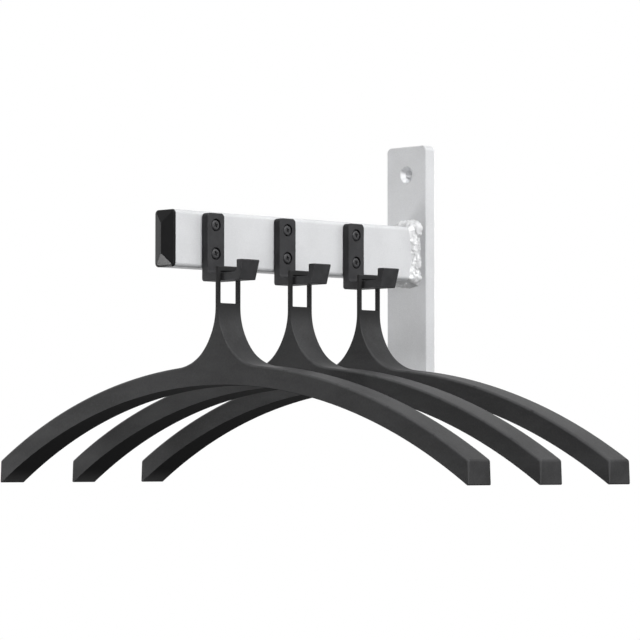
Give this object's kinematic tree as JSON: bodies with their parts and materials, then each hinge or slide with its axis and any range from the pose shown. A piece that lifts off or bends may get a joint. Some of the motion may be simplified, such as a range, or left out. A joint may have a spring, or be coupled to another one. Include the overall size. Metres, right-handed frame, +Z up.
{
  "type": "wall coat rack",
  "caption": "Short steel arm on a wall plate, with side hooks that each carry a swinging moulded garment hanger.",
  "frame": {"origin": "centre of the wall plate's back face, on the wall", "axes": "+Y into the wall, +Z up, +X to the right for someone who faces the wall; the arm stands out along -Y and the hooks along +X"},
  "size_m": [0.471, 0.2573, 0.2519],
  "materials": {
    "silver_paint": "satin silver-grey paint on steel",
    "painted_weld": "rough weld under silver-grey paint",
    "cap_plastic": "glossy black moulded plastic",
    "black_coating": "matt black coating",
    "black_screw": "black-finished steel",
    "hanger_plastic": "matt black moulded plastic"
  },
  "bodies": {
    "rack": {"wall_plate": "silver_paint", "arm_tube": "silver_paint", "weld_bead": "painted_weld", "end_cap": "cap_plastic", "hook_rear": "black_coating", "hook_rear_screw_upper": "black_screw", "hook_rear_screw_lower": "black_screw", "hook_middle": "black_coating", "hook_middle_screw_upper": "black_screw", "hook_middle_screw_lower": "black_screw", "hook_front": "black_coating", "hook_front_screw_upper": "black_screw", "hook_front_screw_lower": "black_screw"},
    "rear_hanger": {"hanger_rear": "hanger_plastic"},
    "middle_hanger": {"hanger_middle": "hanger_plastic"},
    "front_hanger": {"hanger_front": "hanger_plastic"}
  },
  "joints": [
    {"name": "hanger_rear_swing", "type": "hinge", "parent": "rack", "child": "rear_hanger", "pos_m": [0.0285, -0.08, -0.0057], "axis": [0, 1, 0], "range_deg": [-65, 65]},
    {"name": "hanger_middle_swing", "type": "hinge", "parent": "rack", "child": "middle_hanger", "pos_m": [0.0285, -0.15, -0.0057], "axis": [0, 1, 0], "range_deg": [-65, 65]},
    {"name": "hanger_front_swing", "type": "hinge", "parent": "rack", "child": "front_hanger", "pos_m": [0.0285, -0.22, -0.0057], "axis": [0, 1, 0], "range_deg": [-65, 65]}
  ]
}
